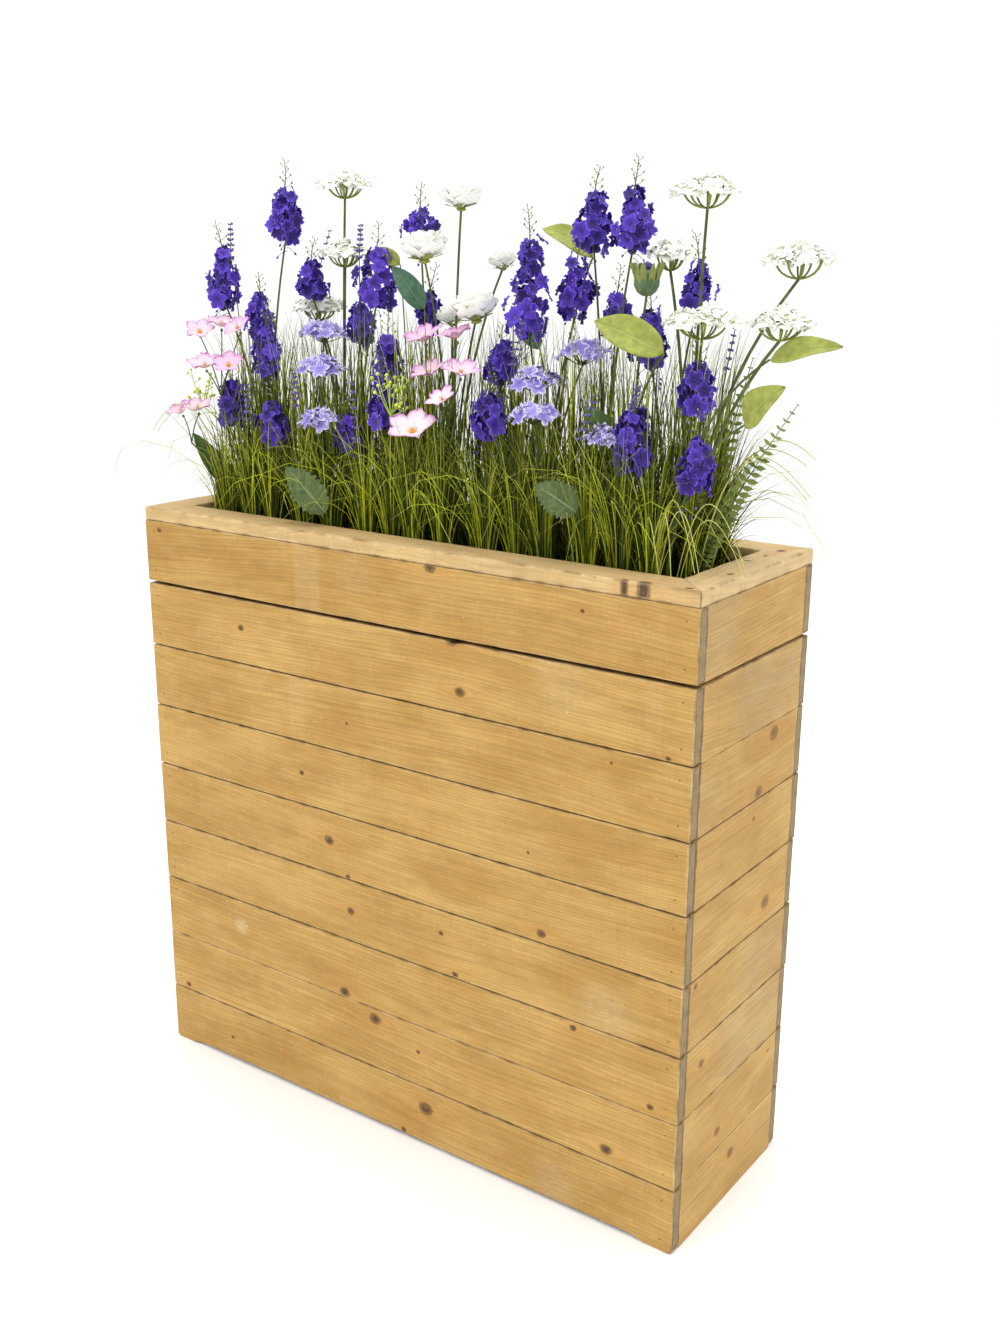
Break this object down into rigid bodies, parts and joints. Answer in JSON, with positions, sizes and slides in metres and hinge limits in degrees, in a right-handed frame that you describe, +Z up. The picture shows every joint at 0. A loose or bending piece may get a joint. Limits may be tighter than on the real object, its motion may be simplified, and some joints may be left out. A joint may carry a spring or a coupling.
{
  "type": "wooden flower planter",
  "caption": "Tall narrow planter box of flat softwood boards with a mitred rim, filled with upright grass, violet, white, pink and lilac flowers.",
  "frame": {"origin": "on the ground, under the middle of the box", "axes": "+X along the box to the viewer's right, -Y towards the viewer out of the long front, +Z up"},
  "size_m": [1.204, 0.332, 1.4569],
  "materials": {
    "softwood": "matte",
    "trough_plastic": "matte",
    "soil": "matte",
    "violet_petals": "matte",
    "white_petals": "matte",
    "pink_petals": "matte",
    "lilac_petals": "matte",
    "leaves": "matte",
    "sprays": "matte",
    "grass": "matte"
  },
  "bodies": {
    "root": {"front_board_1": "softwood", "front_board_2": "softwood", "front_board_3": "softwood", "front_board_4": "softwood", "front_board_5": "softwood", "front_board_6": "softwood", "front_board_7": "softwood", "front_board_8": "softwood", "front_board_9": "softwood", "back_board_1": "softwood", "back_board_2": "softwood", "back_board_3": "softwood", "back_board_4": "softwood", "back_board_5": "softwood", "back_board_6": "softwood", "back_board_7": "softwood", "back_board_8": "softwood", "back_board_9": "softwood", "end_panel_left": "softwood", "end_panel_right": "softwood", "rim_front": "softwood", "rim_back": "softwood", "rim_left": "softwood", "rim_right": "softwood", "trough": "trough_plastic", "soil": "soil", "delphinium_1": "violet_petals", "delphinium_2": "violet_petals", "delphinium_3": "violet_petals", "delphinium_4": "violet_petals", "delphinium_5": "violet_petals", "delphinium_6": "violet_petals", "delphinium_7": "violet_petals", "delphinium_8": "violet_petals", "delphinium_9": "violet_petals", "delphinium_10": "violet_petals", "umbel_left": "white_petals", "umbel_right": "white_petals", "umbel_far_right": "white_petals", "ranunculus": "white_petals", "blossoms_left": "pink_petals", "blossoms_middle": "pink_petals", "phlox_left": "lilac_petals", "phlox_right": "lilac_petals", "leafy_stem_right": "leaves", "leafy_stem_middle": "leaves", "leafy_stem_back": "leaves", "berries_left": "sprays", "berries_middle": "sprays", "seed_head": "sprays", "grass_front_1": "grass", "grass_front_2": "grass", "grass_front_3": "grass", "grass_front_4": "grass", "grass_front_5": "grass", "grass_back_1": "grass", "grass_back_2": "grass", "grass_back_3": "grass", "grass_left": "grass", "grass_right": "grass"}
  },
  "joints": []
}
